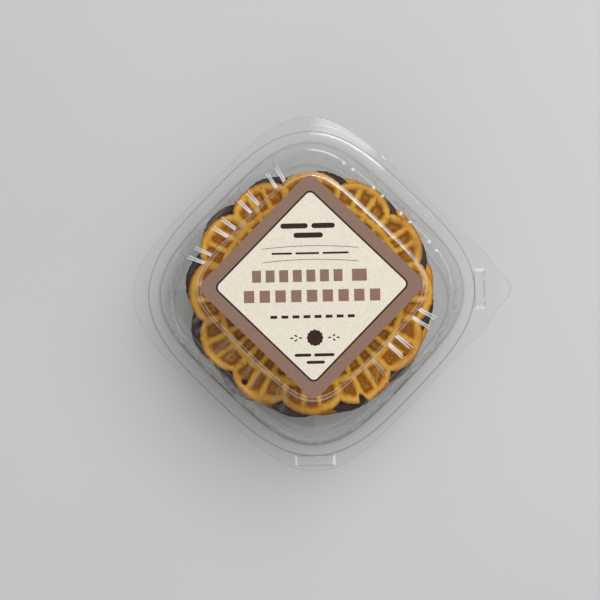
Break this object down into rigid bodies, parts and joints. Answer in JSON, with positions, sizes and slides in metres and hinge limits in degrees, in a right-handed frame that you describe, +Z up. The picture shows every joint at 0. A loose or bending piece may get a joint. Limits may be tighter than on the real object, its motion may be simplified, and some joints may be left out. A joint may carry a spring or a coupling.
{
  "type": "pack of pizzelle wafer cookies",
  "caption": "Clear hinged clamshell with a square label on its lid, holding a flat stack of round scalloped vanilla and chocolate pizzelle wafers.",
  "frame": {"origin": "middle of the footprint, on the surface the pack stands on", "axes": "+Z up through the label; the lid's fold runs along the +Y edge, and the two lock corners are at -Y, the one with the pull tab at +X -Y"},
  "size_m": [0.1524, 0.1524, 0.0762],
  "materials": {
    "clear_plastic": "clear, glossy, thin formed sheet",
    "label_paper": "smooth coated paper, satin, muted brown border round a cream middle",
    "vanilla_wafer": "baked wafer, golden ridges with amber-brown pits, matte",
    "chocolate_wafer": "baked cocoa wafer, near-black brown, matte"
  },
  "bodies": {
    "tray": {"clamshell_base": "clear_plastic", "pizzelle_01": "chocolate_wafer", "pizzelle_02": "vanilla_wafer", "pizzelle_03": "chocolate_wafer", "pizzelle_04": "vanilla_wafer", "pizzelle_05": "chocolate_wafer", "pizzelle_06": "vanilla_wafer", "pizzelle_07": "chocolate_wafer", "pizzelle_08": "vanilla_wafer", "pizzelle_09": "chocolate_wafer", "pizzelle_10": "vanilla_wafer", "pizzelle_11": "chocolate_wafer", "pizzelle_12": "vanilla_wafer"},
    "lid": {"clamshell_lid": "clear_plastic", "label": "label_paper"}
  },
  "joints": [
    {"name": "lid_hinge", "type": "hinge", "parent": "tray", "child": "lid", "pos_m": [0, 0.0762, 0.042], "axis": [-1, 0, 0], "range_deg": [0, 175]}
  ]
}
